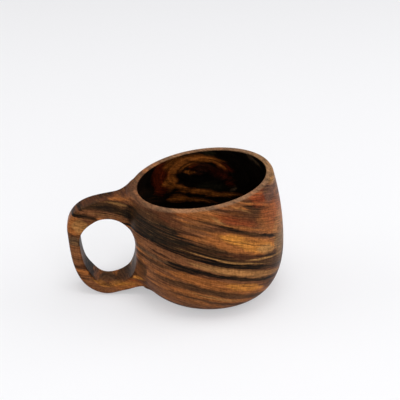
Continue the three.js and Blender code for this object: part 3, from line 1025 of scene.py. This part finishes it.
# %% [markdown]
# On the outside, the ground is an even run of thin brown streaks. The broad streaks lie over it,
# and over them thin lines: pale ones that show in the dark wood and dark ones in the pale wood.

# %% The outside's figure
GROUND_STREAK = (40, 40, 2.6)
GROUND_STOPS = [(0.30, "umber"), (0.44, "red_umber"), (0.52, "chestnut"), (0.62, "sienna")]
THREAD = 0.6

# Thin lines: size of the mark, noise where it starts and is full, strength, tone.
LINES = [
    ((22, 22, 0.8), (0.54, 0.68), 0.3, "chestnut"),
    ((16, 16, 0.6), (0.46, 0.34), 0.6, "umber"),
    ((9, 9, 0.45), (0.58, 0.70), 0.2, "tan"),
    ((9, 9, 0.4), (0.42, 0.30), 0.5, "umber"),
]


def set_stops(ramp, stops):
    """Puts named tones at their places on a colour ramp."""
    while len(ramp.elements) > 1:
        ramp.elements.remove(ramp.elements[-1])
    ramp.elements[0].position = stops[0][0]
    ramp.elements[0].color = linear(TONES[stops[0][1]])
    for position, tone in stops[1:]:
        ramp.elements.new(position).color = linear(TONES[tone])


def outer_figure(tree, at):
    """The wood's colour on the outside: ground, broad streaks and thin lines."""
    ground_place = add(
        tree, "ShaderNodeVectorMath",
        {0: at["layers"], 1: [1 / s for s in GROUND_STREAK]}, operation="MULTIPLY",
    )
    ground = add(tree, "ShaderNodeTexNoise", {"Vector": ground_place, "Scale": 1.0, "Detail": 4.0})
    ramp = add(tree, "ShaderNodeValToRGB", {"Fac": ground})
    set_stops(ramp.color_ramp, GROUND_STOPS)
    colour = ramp.outputs["Color"]
    for streak in STREAKS:
        half_thickness = streak[5]
        layer = at["even"] if half_thickness < THREAD else at["frayed"]
        colour = draw_streak(tree, colour, at["along"], layer, streak)
    for size, found, strength, tone in LINES:
        line = marks(tree, at["layers"], size, 3.0, found, (0.0, strength))
        colour = add(
            tree, "ShaderNodeMix",
            {"Factor": line, "A": colour, "B": linear(TONES[tone])}, data_type="RGBA",
        )
    return colour


# %% [markdown]
# The hollow is drawn nearly black, with its own golden figure: the figure is the wood's, the
# darkness is painted shade. A knot has grown on the far wall, and the growth rings run round it as
# fine dark arcs.

# %% The hollow's figure
KNOT_CENTRE = (-1.5, 0, 54.5)
KNOT_SHAPE = (0.5, 0, 1)
RING_FRAY = 0.5

# Each kind of mark: size in mm, detail, range of the noise, levels that it gives.
INNER_MOTTLING = ((1.6, 1.6, 1.1), 5.0, NOISE_SPREAD, (0.7, 1.3))
GROWTH_RINGS = ((14, 14, 0.75), 3.0, (0.36, 0.62), (0.35, 1.35))


def shaded_inner_figure(tree, at):
    """The wood's colour in the hollow, darkened as painted shade: streaks, mottling and growth rings."""
    colour = add(tree, "ShaderNodeRGB")
    colour.outputs[0].default_value = linear(TONES["shaded_inner_black"])
    for streak in SHADED_INNER_STREAKS:
        colour = draw_streak(tree, colour, at["along"], at["upright"], streak)
    mottle = marks(tree, at["mm"], *INNER_MOTTLING)
    colour = add(tree, "ShaderNodeVectorMath", {0: colour, 3: mottle}, operation="SCALE")
    from_knot = add(tree, "ShaderNodeVectorMath", {0: at["mm"], 1: KNOT_CENTRE}, operation="SUBTRACT")
    from_knot = add(tree, "ShaderNodeVectorMath", {0: from_knot, 1: KNOT_SHAPE}, operation="MULTIPLY")
    ring = add(tree, "ShaderNodeVectorMath", {0: from_knot}, operation="LENGTH").outputs["Value"]
    ring = add(tree, "ShaderNodeMath", {0: at["fray"], 1: RING_FRAY, 2: ring}, operation="MULTIPLY_ADD")
    ring_place = add(tree, "ShaderNodeCombineXYZ", {0: at["x"], 1: at["y"], 2: ring})
    arcs = marks(tree, ring_place, *GROWTH_RINGS)
    return add(tree, "ShaderNodeVectorMath", {0: colour, 3: arcs}, operation="SCALE")


# %% [markdown]
# Which figure shows is decided by place: the hollow lies inside a radius, above the floor and
# below the rim. The rim is cut across the layers, so it is paler, and where it runs into the
# handle's arm the layers show through again.

# %% Hollow and rim
HOLLOW_EDGE = (37.4, 37.0)
HOLLOW_TOP = (0.3, 0.7)
FLOOR_MARGIN = 0.2
RIM_BAND = (0.9, 0.2)
RIM_PALENESS = 0.6
BOWL_EDGE = (42.5, 40.5)
ARM_BLEND = (-40.0, -22.0)
ARM_PALENESS = 0.25


def hollow_and_rim(tree, at, outer, inner):
    """The outside's colour with the rim's paler wood, and the hollow's figure darkened as painted shade,
    laid over it.
    """
    axis_x = add(
        tree, "ShaderNodeMath",
        {0: at["z"], 1: math.tan(LEAN), 2: at["x"]}, operation="MULTIPLY_ADD",
    )
    flat = add(tree, "ShaderNodeCombineXYZ", {0: axis_x, 1: at["y"]})
    radius = add(tree, "ShaderNodeVectorMath", {0: flat}, operation="LENGTH").outputs["Value"]
    rim = add(
        tree, "ShaderNodeMath",
        {0: at["x"], 1: math.tan(RIM_TILT), 2: RIM_HEIGHT}, operation="MULTIPLY_ADD",
    )
    below_rim = add(tree, "ShaderNodeMath", {0: rim, 1: at["z"]}, operation="SUBTRACT")

    # Each: value, its range, the level at its start, the level at its end, interpolation.
    masks = []
    for value, ends, first, last, blend in (
        (radius, HOLLOW_EDGE, 0.0, 1.0, "SMOOTHSTEP"),
        (below_rim, HOLLOW_TOP, 0.0, 1.0, "LINEAR"),
        (below_rim, RIM_BAND, 0.0, RIM_PALENESS, "LINEAR"),
        (radius, BOWL_EDGE, 0.0, 1.0, "LINEAR"),
        (at["x"], ARM_BLEND, ARM_PALENESS, 1.0, "LINEAR"),
    ):
        masks.append(add(
            tree, "ShaderNodeMapRange",
            {"Value": value, "From Min": ends[0], "From Max": ends[1], "To Min": first, "To Max": last},
            interpolation_type=blend,
        ))
    within, under, on_rim, on_bowl, off_arm = masks
    above_floor = add(
        tree, "ShaderNodeMath", {0: at["z"], 1: FLOOR_THICKNESS - FLOOR_MARGIN}, operation="GREATER_THAN",
    )
    # The hollow's figure, darkened as painted shade, goes where these masks meet.
    hollow = within
    for mask in (above_floor, under):
        hollow = add(tree, "ShaderNodeMath", {0: hollow, 1: mask}, operation="MULTIPLY")
    for mask in (on_bowl, off_arm):
        on_rim = add(tree, "ShaderNodeMath", {0: on_rim, 1: mask}, operation="MULTIPLY")
    colour = add(
        tree, "ShaderNodeMix", {"Factor": hollow, "A": outer, "B": inner}, data_type="RGBA",
    )
    return add(
        tree, "ShaderNodeMix",
        {"Factor": on_rim, "A": colour, "B": linear(TONES["rim"])}, data_type="RGBA",
    )


# %% [markdown]
# The wood was sanded fine and rubbed with oil, which fills the pores but leaves them open to the
# touch. To the eye that is a satin: a broad, faint sheen, a little rougher in the dark fine
# streaks, and pores that catch the light. So the pores and fine streaks that darken the colour
# also drive the roughness and a shallow bump. The IOR is that of drying oil, about 1.5, and the
# sheen on the real mug is faint, so the specular level is low.

# %% One solid piece of acacia
FINE_LEVELS = (0.66, 1.32)
SATIN = (0.42, 0.32)
OIL_IOR = 1.5
SHEEN = 0.03
GRAIN_STRENGTH = 0.3
GRAIN_DEPTH = 0.1

# Kinds of marks as above. The hatching is what rays make where they cross the layers.
FINE_STREAKS = ((12, 12, 0.6), 4.0, NOISE_SPREAD, FINE_LEVELS)
PORES = ((1.5, 1.5, 0.5), 2.0, (0.33, 0.5), (0.62, 1.04))
HATCHING = ((0.9, 0.9, 5.0), 3.0, NOISE_SPREAD, (0.82, 1.18))
MOTTLING = (BLOT, 5.0, NOISE_SPREAD, (0.8, 1.2))


def acacia(name):
    """Oiled acacia: streaks and pores in colour, roughness and bump, all from one solid figure."""
    material = bpy.data.materials.new(name)
    material.use_nodes = True
    tree = material.node_tree
    shader = tree.nodes["Principled BSDF"]
    at = places_in_wood(tree)
    colour = hollow_and_rim(tree, at, outer_figure(tree, at), shaded_inner_figure(tree, at))

    kinds = (FINE_STREAKS, PORES, HATCHING, MOTTLING)
    fine, pores, hatching, mottling = [marks(tree, at["layers"], *kind) for kind in kinds]
    level = fine
    for mark in (pores, hatching, mottling):
        level = add(tree, "ShaderNodeMath", {0: level, 1: mark}, operation="MULTIPLY")
    shaded = add(tree, "ShaderNodeVectorMath", {0: colour, 3: level}, operation="SCALE")
    satin = add(tree, "ShaderNodeMapRange", {
        "Value": fine,
        "From Min": FINE_LEVELS[0], "From Max": FINE_LEVELS[1],
        "To Min": SATIN[0], "To Max": SATIN[1],
    })
    grain = add(tree, "ShaderNodeMath", {0: pores, 1: fine}, operation="ADD")
    bump = add(
        tree, "ShaderNodeBump", {"Strength": GRAIN_STRENGTH, "Distance": GRAIN_DEPTH * MM, "Height": grain},
    )
    for made, socket in ((shaded, "Base Color"), (satin, "Roughness"), (bump, "Normal")):
        tree.links.new(made.outputs[0], shader.inputs[socket])
    shader.inputs["IOR"].default_value = OIL_IOR
    shader.inputs["Specular IOR Level"].default_value = SHEEN
    return material


wood = acacia("acacia_oiled")
for piece in (bowl, handle):
    piece.data.materials.append(wood)
print("wood nodes:", len(wood.node_tree.nodes))

# %% [markdown]
# ## The hidden pins
#
# The two dowels of the CAD model sit out of sight in the joints. A cabinetmaker's dowel is pale
# beech, planed dry and left bare, so it stays matt, with short brown flecks along its length.

# %% Beech for the dowels
BEECH = "#cda57a"
BEECH_FLECKS = ((2.0, 0.5, 0.5), 2.0, (0.35, 0.6), (0.72, 1.0))
BARE_ROUGHNESS = 0.6


def beech(name):
    """Dry, unpolished beech: pale pinkish tan with short darker rays along the pin."""
    material = bpy.data.materials.new(name)
    material.use_nodes = True
    tree = material.node_tree
    shader = tree.nodes["Principled BSDF"]
    where = add(tree, "ShaderNodeTexCoord").outputs["Object"]
    in_mm = add(tree, "ShaderNodeVectorMath", {0: where, 3: 1 / MM}, operation="SCALE")
    level = marks(tree, in_mm, *BEECH_FLECKS)
    tint = add(tree, "ShaderNodeRGB")
    tint.outputs[0].default_value = linear(BEECH)
    shaded = add(tree, "ShaderNodeVectorMath", {0: tint, 3: level}, operation="SCALE")
    tree.links.new(shaded.outputs[0], shader.inputs["Base Color"])
    shader.inputs["Roughness"].default_value = BARE_ROUGHNESS
    return material


pin_wood = beech("beech_dry")
for pin in ("upper_dowel", "lower_dowel"):
    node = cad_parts[pin]
    node.data.materials.clear()
    node.data.materials.append(pin_wood)
print("pins in", pin_wood.name)

# %% [markdown]
# ## Floor and light
#
# The mug was photographed on white paper in a light studio. The floor is a plain sheet with a
# matt finish. A camera ray sees part of it as glowing white, which lifts it to the paper's white
# without more light on the mug, and the rest of it keeps the mug's shadow. The backdrop is a white
# that only camera rays see. A small softbox overhead gives the shadow its edge, and large ones
# above, in front and at the sides fill it.

# %% Paper and backdrop
FLOOR_SIZE = 4.0
SHADOW_SHARE = 0.6
PAPER = "#e8e8ea"
PAPER_GLOW = "#fdfdff"
PAPER_ROUGHNESS = 0.9
PAPER_SHEEN = 0.1
BACKDROP = "#f2f4f6"
ROOM = "#ffffff"
ROOM_LIGHT = 0.35

floor_mesh = bmesh.new()
bmesh.ops.create_grid(floor_mesh, x_segments=1, y_segments=1, size=FLOOR_SIZE)
floor = finish_piece("floor", floor_mesh)

# Uncoated paper: even, matt and almost without sheen.
paper = bpy.data.materials.new("white_paper")
paper.use_nodes = True
paper_tree = paper.node_tree
paper_shader = paper_tree.nodes["Principled BSDF"]
paper_shader.inputs["Base Color"].default_value = linear(PAPER)
paper_shader.inputs["Roughness"].default_value = PAPER_ROUGHNESS
paper_shader.inputs["Specular IOR Level"].default_value = PAPER_SHEEN
seen = add(paper_tree, "ShaderNodeLightPath").outputs["Is Camera Ray"]
lift = add(paper_tree, "ShaderNodeMath", {0: seen, 1: 1 - SHADOW_SHARE}, operation="MULTIPLY")
glow = add(paper_tree, "ShaderNodeEmission", {"Color": linear(PAPER_GLOW), "Strength": 1.0})
mixed = add(paper_tree, "ShaderNodeMixShader", {0: lift, 1: paper_shader, 2: glow})
paper_tree.links.new(mixed.outputs[0], paper_tree.nodes["Material Output"].inputs["Surface"])
floor.data.materials.append(paper)

world = bpy.data.worlds.new("studio")
world.use_nodes = True
world_tree = world.node_tree
room = world_tree.nodes["Background"]
room.inputs["Color"].default_value = linear(ROOM)
room.inputs["Strength"].default_value = ROOM_LIGHT
seen = add(world_tree, "ShaderNodeLightPath").outputs["Is Camera Ray"]
backdrop = add(world_tree, "ShaderNodeBackground", {"Color": linear(BACKDROP), "Strength": 1.0})
choice = add(world_tree, "ShaderNodeMixShader", {0: seen, 1: room, 2: backdrop})
world_tree.links.new(choice.outputs[0], world_tree.nodes["World Output"].inputs["Surface"])
bpy.context.scene.world = world
bpy.context.scene.view_settings.view_transform = "Standard"
print("paper and backdrop ready")

# %% Softboxes
LIT_POINT = Vector((0, 0, 0.03))

# Each: name, place in metres, width and height, power in watts.
SOFTBOXES = [
    ("overhead", (0.0, -0.12, 1.2), 0.6, 0.6, 4.6),
    ("ceiling", (0.1, 0.1, 1.3), 1.9, 1.9, 5.2),
    ("front", (0.1, -1.3, 0.8), 1.0, 0.8, 6.8),
    ("left", (-1.0, 0.1, 0.5), 0.9, 0.8, 3.2),
    ("right", (1.0, 0.1, 0.5), 0.9, 0.8, 4.8),
]
for name, position, width, height, power in SOFTBOXES:
    softbox = bpy.data.lights.new(name, "AREA")
    softbox.shape = "RECTANGLE"
    softbox.size = width
    softbox.size_y = height
    softbox.energy = power
    lamp = bpy.data.objects.new(name, softbox)
    lamp.location = position
    lamp.rotation_euler = (Vector(position) - LIT_POINT).to_track_quat("Z", "Y").to_euler()
    lamp.visible_camera = False
    bpy.context.scene.collection.objects.link(lamp)
print("softboxes:", len(SOFTBOXES))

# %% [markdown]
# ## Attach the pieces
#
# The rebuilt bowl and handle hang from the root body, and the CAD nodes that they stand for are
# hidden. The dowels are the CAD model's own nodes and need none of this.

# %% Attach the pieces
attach(bowl, "root")
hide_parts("bowl")
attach(handle, "root")
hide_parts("handle")
